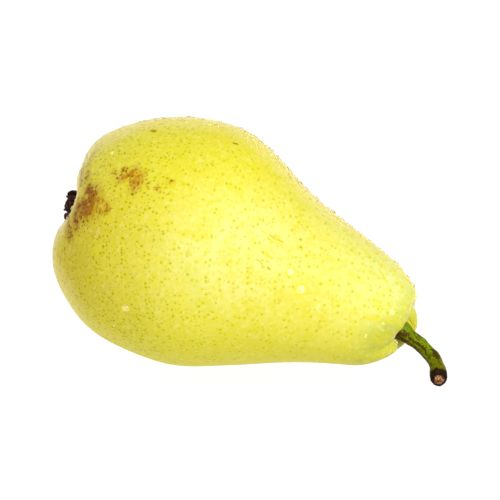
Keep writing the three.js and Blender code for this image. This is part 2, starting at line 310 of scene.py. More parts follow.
# Heights of the fine relief.
WAVE_HEIGHT_MM = 0.25
PEEL_HEIGHT_MM = 0.035
STREAK_HEIGHT_MM = 0.2
SPECK_HEIGHT_MM = 0.1
FOLD_HEIGHT_MM = 0.2
# How far each layer of the skin hides what is under it.
HALO_SHARE = 0.6
HAZE_SHARE = 0.75
RUSSET_SHARE = 0.92
PEPPER_SHARE = 0.95
SCRATCH_WASH_SHARE = 0.8
SCRATCH_SHARE = 0.9
RING_SHARE = 0.7


def tint(red, green, blue):
    """A screen colour, 0 to 255, as the linear colour that the shaders and the colour settings hold."""
    return tuple(
        part / 255 / 12.92 if part <= 10 else ((part / 255 + 0.055) / 1.055) ** 2.4
        for part in (red, green, blue)
    )


def colour_setting(name, description, default):
    return FloatVectorProperty(
        name=name, description=description, default=default, subtype="COLOR", size=3, min=0, max=1
    )


def length_setting(name, description, default):
    return FloatProperty(
        name=name,
        description=description,
        default=default,
        min=0,
        subtype="DISTANCE",
        unit="LENGTH",
        precision=5,
    )


def place_setting(name, description, default):
    return FloatVectorProperty(
        name=name,
        description=description,
        default=default,
        subtype="TRANSLATION",
        unit="LENGTH",
        precision=5,
    )


def strength_setting(name, description, default):
    return FloatProperty(name=name, description=description, default=default, min=0)


def count_setting(name, description, default):
    return IntProperty(name=name, description=description, default=default, min=0)


class PearSkinSettings(bpy.types.PropertyGroup):
    """Sizes and colours of the skin."""

    belly_colour: colour_setting("Belly colour", "Ground colour of the ripe belly", tint(213, 206, 91))
    neck_colour: colour_setting("Neck colour", "Ground colour near the stalk", tint(208, 212, 128))
    calyx_end_colour: colour_setting("Calyx end colour", "Ground colour round the calyx", tint(198, 171, 28))
    # Painted shade: a deeper, less pale yellow high and low on the fruit.
    low_and_high_shade_colour: colour_setting("Side colour", "Ground colour high and low on the fruit", tint(212, 202, 50))
    # Painted highlight: a pale patch on the near side of the belly.
    painted_highlight_colour: colour_setting("Pale side colour", "Palest part of the belly", tint(216, 212, 132))
    green_colour: colour_setting("Unripe colour", "Greener tone in the mottling", tint(184, 188, 28))
    pale_colour: colour_setting("Pale colour", "Paler tone in the fine mottling", tint(220, 216, 124))
    golden_colour: colour_setting("Golden colour", "Riper tone in the mottling", tint(212, 198, 38))
    # Partly the skin's greener tone round the stalk, partly painted shade in the socket's hollow.
    socket_green_and_shade_colour: colour_setting(
        "Socket colour", "Ground colour of the lobes round the stalk", tint(172, 175, 62)
    )
    dot_colour: colour_setting("Dot colour", "The skin's pores on the belly and neck", tint(150, 154, 0))
    halo_colour: colour_setting("Halo colour", "The skin round a pore", tint(206, 200, 8))
    brown_dot_colour: colour_setting("Brown dot colour", "The skin's pores near the calyx", tint(150, 104, 0))
    russet_colour: colour_setting("Russet colour", "Rough brown patches", tint(128, 54, 10))
    young_russet_colour: colour_setting(
        "Young russet colour", "Smooth golden brown patches", tint(172, 112, 0)
    )
    russet_dark_colour: colour_setting("Dark russet colour", "Pores in the russet", tint(100, 46, 8))
    # Partly a painted rim sheen, round the outline that the camera sees.
    dew_and_rim_sheen_colour: colour_setting("Dew colour", "Skin under fine dew", tint(244, 228, 162))
    # Also draws the wrinkles behind the stalk, as lines of painted shade in their creases.
    scratch_and_wrinkle_shade_colour: colour_setting("Scratch colour", "Fine scratches and specks", tint(148, 120, 0))
    dot_cell: length_setting("Dot cell", "Size of the space that holds one pore", 1.08 * MM)
    dot_radius: length_setting("Dot radius", "Radius of a middling pore", 0.27 * MM)
    swell_size: length_setting("Swell size", "Width of the skin's gentle unevenness", 16 * MM)
    swell_height: length_setting("Swell height", "Height of the skin's gentle unevenness", 0.35 * MM)


class PearStalkSettings(bpy.types.PropertyGroup):
    """Sizes and colours of the stalk."""

    green_colour: colour_setting("Green bark colour", "Bark on the stalk's upper side", tint(110, 132, 0))
    olive_colour: colour_setting(
        "Olive bark colour", "Bark on the underside and near the end", tint(98, 90, 0)
    )
    brown_colour: colour_setting("Brown patch colour", "Specks and scars on the bark", tint(56, 28, 0))
    collar_colour: colour_setting("Collar colour", "Dark band at the broken end", tint(22, 8, 2))
    wood_colour: colour_setting("Broken wood colour", "Fibres of the broken end", tint(190, 136, 92))
    bark_size: length_setting("Bark size", "Width of the bark's unevenness", 1.1 * MM)
    bark_height: length_setting("Bark height", "Height of the bark's unevenness", 0.22 * MM)


class PearCalyxSettings(bpy.types.PropertyGroup):
    """Sizes and colours of the dried calyx."""

    dark_colour: colour_setting("Dark colour", "Dried sepals in their folds", tint(20, 10, 8))
    brown_colour: colour_setting("Brown colour", "Dried sepals' edges", tint(104, 50, 28))
    crumple_size: length_setting("Crumple size", "Width of the dried sepals' crumples", 0.8 * MM)
    crumple_height: length_setting("Crumple height", "How far the dried sepals are crumpled", 0.3 * MM)


class PearWaterSettings(bpy.types.PropertyGroup):
    """Amount and size of the water on the skin."""

    dew_count: count_setting("Dew count", "Number of middling drops on the far and upper side", 330)
    mist_count: count_setting("Mist count", "Number of fine drops on the far and upper side", 900)
    dew_diameter: length_setting("Dew diameter", "Diameter of a middling drop", 0.85 * MM)
    mist_diameter: length_setting("Mist diameter", "Diameter of a fine drop", 0.5 * MM)
    seed: count_setting("Seed", "Which of the possible scatterings is made", 11)


class PearStageSettings(bpy.types.PropertyGroup):
    """The camera, the lights and the floor."""

    camera_place: place_setting(
        "Camera place", "Where the camera stands", (0.1733, -0.5670, 0.1813)
    )
    camera_aim: place_setting(
        "Camera aim", "The point that the camera looks at", (-0.0031, 0.0085, 0.0295)
    )
    focal_length: FloatProperty(
        name="Focal length",
        description="The camera's focal length in millimetres",
        default=165.2,
        min=1,
    )
    room_light: strength_setting("Room light", "White light from all round", 0.3)
    wall_light: strength_setting(
        "Wall light", "How much stronger it is from the pale wall behind and to the left", 1.4
    )
    key_power: FloatProperty(
        name="Key power",
        description="Power of the large soft light by the camera",
        default=19.0,
        min=0,
        subtype="POWER",
        unit="POWER",
    )
    floor_colour: colour_setting("Floor colour", "The pale floor", (0.15, 0.15, 0.15))
    floor_glow: strength_setting(
        "Floor glow", "Light that the floor gives off, which thins the shadow on it", 0.96
    )


# Shaders


class Flow:
    """A value on its way through a material's nodes. Python's operators add Math nodes to it."""

    def __init__(self, finish, socket):
        self.finish = finish
        self.socket = socket

    def math(self, operation, *others):
        values = dict(enumerate((self,) + others))
        return self.finish.node("Math", {"operation": operation}, values)

    def __add__(self, other):
        return self.math("ADD", other)

    __radd__ = __add__

    def __sub__(self, other):
        return self.math("SUBTRACT", other)

    def __rsub__(self, other):
        return self.finish.node("Math", {"operation": "SUBTRACT"}, {0: other, 1: self})

    def __mul__(self, other):
        return self.math("MULTIPLY", other)

    __rmul__ = __mul__

    def __truediv__(self, other):
        return self.math("DIVIDE", other)

    def clamped(self):
        """The value, kept between 0 and 1."""
        return self.finish.node("Clamp", {}, {"Value": self})

    def rise(self, low, high):
        """0 below low and 1 above high, with a smooth rise between them."""
        return self.finish.node(
            "MapRange",
            {"interpolation_type": "SMOOTHSTEP"},
            {"Value": self, "From Min": low, "From Max": high},
        )

    def fall(self, low, high):
        """1 below low and 0 above high, with a smooth fall between them."""
        return 1 - self.rise(low, high)

    def either(self, other):
        """The larger of the two."""
        return self.math("MAXIMUM", other)


class Finish:
    """A material while its nodes are put together."""

    def __init__(self, name):
        self.material = bpy.data.materials.new(name)
        self.material.use_nodes = True
        self.tree = self.material.node_tree
        self.tree.nodes.clear()

    def node(self, kind, settings=None, sockets=None, out=0):
        """Adds a node of that kind, with its settings and the values or links of its sockets."""
        made = self.tree.nodes.new("ShaderNode" + kind)
        for key, value in (settings or {}).items():
            setattr(made, key, value)
        for key, value in (sockets or {}).items():
            target = made.inputs[key]
            if isinstance(value, Flow):
                self.tree.links.new(value.socket, target)
            elif target.type == "RGBA":
                target.default_value = (*value[:3], 1)
            else:
                target.default_value = value
        return Flow(self, made.outputs[out])

    def vector(self, operation, *values, out=0):
        """A Vector Math node. Its number, such as a length or dot product, is output 1."""
        return self.node("VectorMath", {"operation": operation}, dict(enumerate(values)), out)

    def part(self, vector, axis):
        """One number, X, Y or Z, of a vector."""
        return self.node("SeparateXYZ", {}, {"Vector": vector}, out=axis)

    def blend(self, share, first, second):
        """The first colour turned into the second by that share."""
        sockets = {0: share, 6: first, 7: second}
        return self.node("Mix", {"data_type": "RGBA"}, sockets, out=2)

    def place_mm(self):
        """Where a point of the piece is, in millimetres."""
        place = self.node("TexCoord", out=3)
        scaled = self.vector("SCALE", place)
        scaled.socket.node.inputs["Scale"].default_value = 1 / MM
        return scaled

    def stretched(self, place, stretch):
        """The place, stretched by a factor for each axis."""
        return self.vector("MULTIPLY", place, stretch)

    def noise(self, place, size, detail, roughness, out=0):
        """Soft noise, 0 to 1, whose lumps have that size in mm. Output 1 is its colour."""
        sockets = {"Vector": place, "Scale": 1 / size, "Detail": detail, "Roughness": roughness}
        return self.node("TexNoise", {}, sockets, out)

    def ruffled(self, place, size, depth):
        """The place moved about by noise, by up to half that depth in mm, so that edges on it are ragged."""
        shift = self.noise(place, size, *RUFFLE_ROUGHNESS, out=1)
        shift = self.vector("SUBTRACT", shift, (0.5, 0.5, 0.5))
        return self.vector("ADD", place, self.vector("MULTIPLY", shift, (depth,) * 3))

    def dots(self, place, cell, radius, seed):
        """Soft dots, one in each cell: how far a place is in one and in its halo, and its random number."""
        shifted = self.vector("ADD", place, (seed, seed * 1.7, -seed))
        cells = {"Vector": shifted, "Scale": 1 / cell, "Randomness": 1.0}
        away = self.node("TexVoronoi", {"feature": "F1"}, cells)
        own = self.part(Flow(self, away.socket.node.outputs["Color"]), 0)
        away = away / (radius / cell * (own * PORE_RANGE + PORE_LEAST))
        return away.fall(*PORE_EDGE), away.fall(*HALO_EDGE), own

    def from_point(self, place, point):
        """How far the place is from a point, in mm."""
        return self.vector("DISTANCE", place, tuple(point), out=1)

    def from_line(self, place, start, end):
        """How far the place is from the line between two points, in mm."""
        along = end - start
        offset = self.vector("SUBTRACT", place, tuple(start))
        share = self.vector("DOT_PRODUCT", offset, tuple(along), out=1)
        share = (share / max(along.length_squared, 1e-6)).clamped()
        nearest = self.vector("SCALE", tuple(along))
        self.tree.links.new(share.socket, nearest.socket.node.inputs["Scale"])
        return self.vector("LENGTH", self.vector("SUBTRACT", offset, nearest), out=1)

    def marks(self, place, lines):
        """How far a place is in any mark, and in their wash. A mark is a line, half a width, a strength."""
        found = near = None
        for start, end, half_width, strength in lines:
            away = self.from_line(place, start, end)
            mark = away.fall(*(half_width * edge for edge in MARK_EDGE)) * strength
            around = away.fall(*(half_width * edge for edge in WASH_EDGE)) * strength
            found = mark if found is None else found.either(mark)
            near = around if near is None else near.either(around)
        return found, near

    def bump(self, height, distance, strength, under=None):
        """A bump whose height, 0 to 1, stands for that distance in metres."""
        sockets = {"Height": height, "Distance": distance, "Strength": strength}
        if under is not None:
            sockets["Normal"] = under
        return self.node("Bump", {}, sockets)

    def surface(self, sockets):
        """Ends the material in a Principled surface and returns the material."""
        shader = self.node("BsdfPrincipled", {}, sockets)
        output = self.tree.nodes.new("ShaderNodeOutputMaterial")
        self.tree.links.new(shader.socket, output.inputs["Surface"])
        return self.material


# Work on meshes


def alone(piece):
    """Makes the piece the only selected and active object."""
    bpy.ops.object.select_all(action="DESELECT")
    piece.select_set(True)
    bpy.context.view_layer.objects.active = piece


def apply_modifier(piece, kind, **settings):
    alone(piece)
    bpy.ops.object.modifier_add(type=kind)
    modifier = piece.modifiers[-1]
    for key, value in settings.items():
        setattr(modifier, key, value)
    bpy.ops.object.modifier_apply(modifier=modifier.name)


def smooth_copy(node, name):
    """A merged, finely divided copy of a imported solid."""
    piece = bpy.data.objects.new(name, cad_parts[node].data.copy())
    piece.data.name = name
    piece.data.materials.clear()
    bpy.context.scene.collection.objects.link(piece)
    alone(piece)
    bpy.ops.object.mode_set(mode="EDIT")
    bpy.ops.mesh.select_all(action="SELECT")
    bpy.ops.mesh.remove_doubles(threshold=ONE_CORNER_MM * MM)
    bpy.ops.mesh.tris_convert_to_quads()
    bpy.ops.object.mode_set(mode="OBJECT")
    apply_modifier(piece, "SUBSURF", levels=DIVISIONS, render_levels=DIVISIONS)
    bpy.ops.object.shade_smooth()
    return piece


def roughen(piece, size, height):
    """Moves the surface in and out by soft noise of that size, by up to half that height."""
    texture = bpy.data.textures.new(piece.name + " unevenness", "CLOUDS")
    texture.noise_scale = size
    texture.noise_depth = 1
    apply_modifier(
        piece, "DISPLACE", texture=texture, texture_coords="LOCAL", strength=height, mid_level=0.5
    )


def light_up(piece):
    """Lets the key light reach the piece. It passes the floor by, so that no hard shadow lies there."""
    bpy.data.collections[KEY_LIT].objects.link(piece)


def dress(piece, material, node):
    """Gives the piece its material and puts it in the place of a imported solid."""
    piece.data.materials.append(material)
    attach(piece, BODY)
    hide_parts(node)
    light_up(piece)


def step_between(value, low, high):
    """0 below low and 1 above high, with a straight rise between them."""
    return min(max((value - low) / (high - low), 0.0), 1.0)


def dew_and_rim_sheen_on(normal):
    """How thick the dew lies, 0 to 1, on skin that faces along the normal. It also masks the painted rim sheen.
    """
    facing = normal.dot(Vector(DEW_DIRECTION).normalized())
    thinned = 1 - step_between(facing, *DEW_THINNING) * (1 - DEW_LEFT)
    return step_between(facing, *DEW_FACING) * step_between(normal.z, *DEW_RISING) * thinned


def shape_of(piece):
    """The piece's surface, for rays to meet."""
    mesh = piece.data
    points = [vertex.co for vertex in mesh.vertices]
    return BVHTree.FromPolygons(points, [tuple(face.vertices) for face in mesh.polygons])


def behind_pixel(shape, x, y):
    """The place and normal of the surface that shows at that pixel of the camera's view."""
    camera = bpy.context.scene.camera
    depth = VIEW_SIDE * camera.data.lens / camera.data.sensor_width
    ray = Vector((x - VIEW_SIDE / 2, VIEW_SIDE / 2 - y, -depth))
    ray = camera.matrix_world.to_3x3() @ ray.normalized()
    place, normal, _, _ = shape.ray_cast(camera.matrix_world.translation, ray)
    if place is None:
        raise RuntimeError(f"no surface shows at pixel {x}, {y}")
    return place, normal


def seen_lines(shape, marks):
    """Marks given by pixels, as lines on the surface in mm."""
    return [
        (behind_pixel(shape, *start)[0] / MM, behind_pixel(shape, *end)[0] / MM, half_width, strength)
        for start, end, half_width, strength in marks
    ]


# Materials. In their formulas, a bare number is a share or a weight, and a bare pair is a reach.


# Mottling: its noise, whether it shows where that is high or low, the reach, its share and its colour.
MOTTLING = (
    ("broad", Flow.rise, (0.52, 0.74), 0.4, "golden_colour"),
    ("broad", Flow.fall, (0.28, 0.46), 0.25, "green_colour"),
    ("fine", Flow.rise, (0.46, 0.68), 0.45, "golden_colour"),
    ("mottle", Flow.rise, (0.5, 0.7), 0.4, "pale_colour"),
    ("mottle", Flow.fall, (0.3, 0.5), 0.35, "golden_colour"),
)


class SkinFinish(Finish):
    """The skin's layers, from the ground up. Each is given the colour under it and returns its own."""

    def __init__(self, settings, shape):
        super().__init__("pear skin")
        self.settings = settings
        self.shape = shape
        self.place = self.place_mm()
        self.soft = {name: self.noise(self.place, *how) for name, how in SKIN_NOISE.items()}
        self.grain = self.soft["grain"]
        self.along = self.part(self.place, 0)
        self.drift = (self.soft["drift"] - 0.5) * DRIFT_MM
        self.near_calyx = (self.along + self.drift * 0.7).fall(*BROWN_PORES_MM)
        cell = settings.dot_cell / MM
        close = cell * CLOSE_CELL
        radius = settings.dot_radius / MM
        grown = (self.near_calyx * 0.35 + 1) * radius
        large, large_halo, large_own = self.dots(self.place, cell, grown, LARGE_SEED)
        small, small_halo, small_own = self.dots(self.place, close, grown * SMALL_RADIUS, SMALL_SEED)
        specks, _, self.speck_own = self.dots(self.place, close, radius * SPECK_RADIUS, SPECK_SEED)
        large_seen = (large_own + self.near_calyx * 0.6).rise(*PORES_SEEN)
        small_seen = (small_own + self.near_calyx * 0.6).rise(*PORES_SEEN)
        self.pores = (large * large_seen).either(small * small_seen * 0.8)
        self.halos = (large_halo * large_seen).either(small_halo * small_seen * 0.6)
        self.pepper = (specks * (0.4 + self.speck_own * 0.6)).either(large * large_own)

    def ground(self):
        """The ground colour, which runs from the calyx to the neck. A pale patch on the near side is a painted
        highlight; the low and high sides are painted shade, and so partly is the greener socket round the
        stalk.
        """
        settings = self.settings
        along = self.along + self.drift
        colour = self.blend(along.rise(*BELLY_MM), settings.calyx_end_colour, settings.belly_colour)
        colour = self.blend(along.rise(*NECK_MM), colour, settings.neck_colour)
        # Painted highlight: a pale patch on the belly's near side.
        from_highlight = self.from_point(self.place, PAINTED_HIGHLIGHT_MM) + self.drift * 0.4
        pale = from_highlight.fall(*PAINTED_HIGHLIGHT_REACH_MM) * PAINTED_HIGHLIGHT_SHARE
        colour = self.blend(pale, colour, settings.painted_highlight_colour)
        # Painted shade: deeper yellow low and high on the fruit, away from its lit middle.
        height = self.part(self.place, 2) + self.drift * 0.3
        sides = height.fall(*LOW_SIDE_MM).either(height.rise(*HIGH_SIDE_MM))
        sides = sides * self.along.fall(*SIDES_END_MM)
        colour = self.blend(sides * SIDES_SHARE, colour, settings.low_and_high_shade_colour)
        # Greener and darker round the socket: partly the skin's own tone, partly painted shade in the hollow.
        socket = self.from_point(self.place, SOCKET_CENTRE_MM).fall(*SOCKET_REACH_MM)
        return self.blend(socket * SOCKET_SHARE, colour, settings.socket_green_and_shade_colour)

    def mottled(self, colour):
        """Broad and fine mottling."""
        for noise, edge, reach, share, patch in MOTTLING:
            seen = edge(self.soft[noise], *reach) * share
            colour = self.blend(seen, colour, getattr(self.settings, patch))
        return colour

    def pored(self, colour):
        """Pores in their halos: brown and thick-set near the calyx, greener and sparser towards the neck."""
        settings = self.settings
        pore = self.blend(self.near_calyx, settings.dot_colour, settings.brown_dot_colour)
        colour = self.blend(self.halos * HALO_SHARE, colour, settings.halo_colour)
        return self.blend(self.pores * (self.near_calyx * 0.2 + 0.6), colour, pore)

    def russeted(self, colour):
        """Patches of russet in a hazy wash, with flecks and dark pores that thin out away from the calyx."""
        settings = self.settings
        grain = self.grain
        ragged = self.ruffled(self.place, *RUSSET_RUFFLES_MM)
        patches, wash = self.marks(ragged, seen_lines(self.shape, RUSSET_MARKS))
        from_calyx = self.from_point(self.place, CALYX_CENTRE_MM)
        near_rim = from_calyx.fall(*FLECKS_MM)
        flecks = (self.soft["cloud"] + near_rim * 0.16).rise(0.58, 0.78) * grain.rise(0.35, 0.65)
        haze = (wash * (0.25 + grain * 1.1)).either(flecks * 0.5)
        core = (patches * 0.8 + (grain - 0.5) * 2.4).rise(0.0, 0.9) * patches.rise(0.0, 0.4)
        young = from_calyx.rise(*YOUNG_RUSSET_MM)
        russet = self.blend(young, settings.russet_colour, settings.young_russet_colour)
        colour = self.blend(haze * HAZE_SHARE, colour, russet)
        colour = self.blend(core * RUSSET_SHARE, colour, russet)
        peppered = haze.rise(0.05, 0.45).either(near_rim * 0.4)
        self.russet = haze.either(core)
        return self.blend(peppered * self.pepper * PEPPER_SHARE, colour, settings.russet_dark_colour)

    def scratched(self, colour):
        """Scratches and specks in a golden wash; the wrinkles behind the stalk are lines of painted shade."""
        frayed = self.ruffled(self.place, *SCRATCH_RUFFLES_MM)
        scratches, beside = self.marks(frayed, seen_lines(self.shape, SCRATCHES))
        wrinkles, _ = self.marks(frayed, seen_lines(self.shape, WRINKLES))
        colour = self.blend(beside * SCRATCH_WASH_SHARE, colour, self.settings.golden_colour)
        return self.blend(scratches.either(wrinkles) * SCRATCH_SHARE, colour, self.settings.scratch_and_wrinkle_shade_colour)

    def shade_ringed(self, colour):
        """Painted shade: a richer golden ring under the edge of each of the largest drops."""
        for x, y, diameter in SHADE_RINGED_DROPS:
            away = self.from_point(self.place, behind_pixel(self.shape, x, y)[0] / MM)
            ring = away.rise(*(diameter * edge for edge in RING_INSIDE))
            ring = ring * away.fall(*(diameter * edge for edge in RING_OUTSIDE))
            colour = self.blend(ring * RING_SHARE, colour, self.settings.golden_colour)
        return colour

    def dewed_with_rim_sheen(self, colour):
        """Dew too fine to see as drops, which turns the skin pale and grainy: partly a painted rim sheen."""
        dew = self.node("Attribute", {"attribute_name": "dew"}, out=2)
        dew_and_sheen_film = (0.75 + (self.grain - 0.5) * 2.0 + (self.speck_own - 0.5) * 0.4).clamped()
        dew_and_sheen_film = dew * dew_and_sheen_film * (1 - self.russet * 0.7)
        colour = self.blend(dew_and_sheen_film, colour, self.settings.dew_and_rim_sheen_colour)
        crumbs = dew * self.grain.fall(0.32, 0.46) * 0.6
        return self.blend(crumbs, colour, self.settings.brown_dot_colour)

    def relief(self):
        """Gentle waves, with the peel's grain, the pores and the rough russet on them."""
        waves = self.bump(self.soft["waves"], WAVE_HEIGHT_MM * MM, 0.5)
        rough = self.soft["peel"] + self.pores * 0.6 + self.russet * self.grain * 1.2
        return self.bump(rough, PEEL_HEIGHT_MM * MM, 0.7, waves)


def make_skin(settings, shape):
    skin = SkinFinish(settings, shape)
    colour = skin.ground()
    for layer in (skin.mottled, skin.pored, skin.russeted, skin.scratched, skin.shade_ringed, skin.dewed_with_rim_sheen):
        colour = layer(colour)
    return skin.surface(
        {
            "Base Color": colour,
            "Roughness": 0.44 + skin.soft["fine"] * 0.08 + skin.russet * 0.25,
            "IOR": 1.3,
            "Specular IOR Level": 0.22,
            "Normal": skin.relief(),
        }
    )


def make_bark(settings, shape):
    finish = Finish("pear stalk bark")
    grain = finish.node("Attribute", {"attribute_name": "grain"}, out=1)
    place = finish.place_mm()
    end_centre = STALK_LINE_MM[-1]
    facing = tuple(Vector(STALK_END_FACING).normalized())
    from_end = finish.from_point(place, end_centre)
    offset = finish.vector("SUBTRACT", place, end_centre)
    beyond = finish.vector("DOT_PRODUCT", offset, facing, out=1)

    # Green above and olive below and towards the end, with dark patches and specks.
    streaks = finish.noise(finish.stretched(grain, STREAK_STRETCH), *STREAK_NOISE)
    blots = finish.noise(finish.stretched(grain, BLOT_STRETCH), *BLOT_NOISE)
    specks = finish.noise(grain, *SPECK_NOISE)
    under = (finish.part(grain, 2) + (blots - 0.5) * 2.4).fall(-0.9, 0.7)
    near_end = (from_end + (blots - 0.5) * 3.0).fall(*OLIVE_END_MM)
    bark = finish.blend(streaks.rise(0.4, 0.7) * 0.7, settings.green_colour, settings.olive_colour)
    bark = finish.blend(under.either(near_end) * 0.7, bark, settings.olive_colour)
    ragged = finish.ruffled(place, *BARK_RUFFLES_MM)
    marks, around = finish.marks(ragged, seen_lines(shape, STALK_MARKS))
    marks = (marks + (specks - 0.5) * 2.2).rise(0.3, 0.7) * around.rise(0.0, 0.3)
    patches = (blots + under * 0.14).rise(0.57, 0.66)
    patches = patches.either((specks + under * 0.08 + around * 0.1).rise(0.6, 0.68))
    bark = finish.blend(patches.either(marks) * 0.88, bark, settings.brown_colour)

    # The dark collar, and the fibres of the broken wood in its middle.
    collar = (from_end + (blots - 0.5) * 1.8).fall(*COLLAR_MM)
    burnt = finish.blend(specks.rise(0.5, 0.62), settings.collar_colour, settings.brown_colour)
    bark = finish.blend(collar, bark, burnt)
    fibres = finish.noise(finish.stretched(place, FIBRE_STRETCH), *FIBRE_NOISE)
    middle = (from_end + (blots - 0.5) * 1.6).fall(*WOOD_MM) * beyond.rise(*WOOD_DEPTH_MM)
    wood = finish.blend(fibres.fall(0.42, 0.56), settings.wood_colour, settings.collar_colour)
    bark = finish.blend(middle, bark, wood)

    ridges = finish.bump(streaks, STREAK_HEIGHT_MM * MM, 0.8)
    ridges = finish.bump(specks + fibres * middle * 3, SPECK_HEIGHT_MM * MM, 0.8, ridges)
    return finish.surface(
        {
            "Base Color": bark,
            "Roughness": 0.5 + patches * 0.2 + middle * 0.2,
            "IOR": 1.35,
            "Specular IOR Level": 0.12,
            "Normal": ridges,
        }
    )


def make_dried(settings):
    finish = Finish("pear dried calyx")
    place = finish.place_mm()
    folds = finish.noise(finish.stretched(place, FOLD_STRETCH), *FOLD_NOISE)
    crumbs = finish.noise(place, *CRUMB_NOISE)
    colour = finish.blend(folds.rise(0.46, 0.62), settings.dark_colour, settings.brown_colour)
    relief = finish.bump(folds + crumbs * 0.5, FOLD_HEIGHT_MM * MM, 0.9)
    return finish.surface(
        {"Base Color": colour, "Roughness": 0.65 + crumbs * 0.25, "IOR": 1.3, "Normal": relief}
    )


def make_water(name, colour, clearness):
    finish = Finish(name)
    return finish.surface(
        {"Base Color": colour, "Roughness": 0.0, "IOR": 1.33, "Transmission Weight": clearness}
    )


def make_floor(settings):
    finish = Finish("pale floor")
    return finish.surface(
        {
            "Base Color": settings.floor_colour,
            "Roughness": 0.9,
            "Emission Color": (1.0, 1.0, 1.0),
            "Emission Strength": settings.floor_glow,
        }
    )


# Pieces


class PearStage(bpy.types.Operator):
    """Sets up the camera, the soft lights and the pale floor."""

    bl_idname = "pear.stage"
    bl_label = "Stage"

    def execute(self, context):
        settings = context.scene.pear_stage
        bpy.ops.object.camera_add(location=settings.camera_place)
        camera = context.object
        camera.name = "camera"
        towards = Vector(settings.camera_aim) - Vector(settings.camera_place)
        camera.rotation_euler = towards.to_track_quat("-Z", "Y").to_euler()
        camera.data.lens = settings.focal_length
        camera.data.sensor_width = SENSOR_WIDTH_MM
        camera.data.clip_start = CLIP_START
        context.scene.camera = camera

        key_light = self.add_key_light(settings.key_power)

        bpy.ops.mesh.primitive_plane_add(size=FLOOR_SIZE, location=(0, 0, -FLOOR_DROP_MM * MM))
        floor = context.object
        floor.name = "floor"
        floor.data.materials.append(make_floor(settings))
        bpy.ops.object.transform_apply(location=True, rotation=False, scale=False)

        lit = bpy.data.collections.new(KEY_LIT)
        key_light.light_linking.receiver_collection = lit
        world = bpy.data.worlds.new("white room")
        world.use_nodes = True
        self.light_room(world.node_tree, settings)
        context.scene.world = world
        context.scene.view_settings.view_transform = "Standard"
        context.view_layer.update()
        return {"FINISHED"}

    @staticmethod
    def light_room(tree, settings):
        """White light from all round, which is stronger from a pale wall behind and to the left."""
        direction = tree.nodes.new("ShaderNodeTexCoord").outputs["Generated"]
        towards_wall = tree.nodes.new("ShaderNodeVectorMath")
        towards_wall.operation = "DOT_PRODUCT"
        towards_wall.inputs[1].default_value = WALL_DIRECTION
        strength = tree.nodes.new("ShaderNodeMapRange")
        strength.interpolation_type = "SMOOTHSTEP"
        strength.inputs["From Max"].default_value = WALL_FULL
        strength.inputs["To Min"].default_value = settings.room_light
        strength.inputs["To Max"].default_value = settings.room_light + settings.wall_light
        background = tree.nodes["Background"]
        background.inputs["Color"].default_value = (1, 1, 1, 1)
        tree.links.new(direction, towards_wall.inputs[0])
        tree.links.new(towards_wall.outputs["Value"], strength.inputs["Value"])
        tree.links.new(strength.outputs["Result"], background.inputs["Strength"])

    @staticmethod
    def add_key_light(power):
        """A large soft light by the camera."""
        bpy.ops.object.light_add(type="AREA", location=KEY_LIGHT_PLACE)
        light = bpy.context.object
        light.name = "key light"
        light.data.shape = "DISK"
        light.data.size = KEY_LIGHT_SIZE
        light.data.energy = power
        towards = Vector(KEY_LIGHT_AIM) - Vector(KEY_LIGHT_PLACE)
        light.rotation_euler = towards.to_track_quat("-Z", "Y").to_euler()
        return light


class PearFruit(bpy.types.Operator):
    """Makes the fruit's finely divided body and its spotted skin."""

    bl_idname = "pear.fruit"
    bl_label = "Fruit"

    def execute(self, context):
        settings = context.scene.pear_skin
        fruit = smooth_copy("fruit", "pear_fruit")
        roughen(fruit, settings.swell_size, settings.swell_height)
        for vertex in fruit.data.vertices:
            vertex.co.z = max(vertex.co.z, 0.0)
        # The dew mask also places the painted rim sheen on the skin.
        dew = fruit.data.attributes.new("dew", "FLOAT", "POINT")
        for vertex, item in zip(fruit.data.vertices, dew.data):
            item.value = dew_and_rim_sheen_on(vertex.normal)
        dress(fruit, make_skin(settings, shape_of(fruit)), "fruit")
        return {"FINISHED"}


class PearStalk(bpy.types.Operator):
    """Makes the stalk with its uneven bark and broken end."""

    bl_idname = "pear.stalk"
    bl_label = "Stalk"

    def execute(self, context):
        settings = context.scene.pear_stalk
        stalk = smooth_copy("stalk", "pear_stalk")
        roughen(stalk, settings.bark_size, settings.bark_height)
        self.straighten(stalk)
        dress(stalk, make_bark(settings, shape_of(stalk)), "stalk")
        return {"FINISHED"}

    @staticmethod
    def straighten(stalk):
        """Stores where each point is along, beside and above the stalk's centre line, in mm."""
        line = [Vector(point) for point in STALK_LINE_MM]
        grain = stalk.data.attributes.new("grain", "FLOAT_VECTOR", "POINT")
        for vertex, item in zip(stalk.data.vertices, grain.data):
            place = vertex.co / MM
            nearest = None
            gone = 0.0
            for start, end in zip(line, line[1:]):
                reach = end - start
                _, share = intersect_point_line(place, start, end)
                share = min(max(share, 0.0), 1.0)
                offset = place - start - reach * share
                if nearest is None or offset.length < nearest[0]:
                    side = reach.cross(Vector((0, 0, 1))).normalized()
                    above = side.cross(reach).normalized()
                    found = (gone + reach.length * share, offset.dot(side), offset.dot(above))
                    nearest = (offset.length, found)
                gone += reach.length
            item.vector = nearest[1]


class PearCalyx(bpy.types.Operator):
    """Makes the dried calyx in its basin."""

    bl_idname = "pear.calyx"
    bl_label = "Calyx"

    def execute(self, context):
        settings = context.scene.pear_calyx
        calyx = smooth_copy("calyx", "pear_calyx")
        roughen(calyx, settings.crumple_size, settings.crumple_height)
        dress(calyx, make_dried(settings), "calyx")
        return {"FINISHED"}


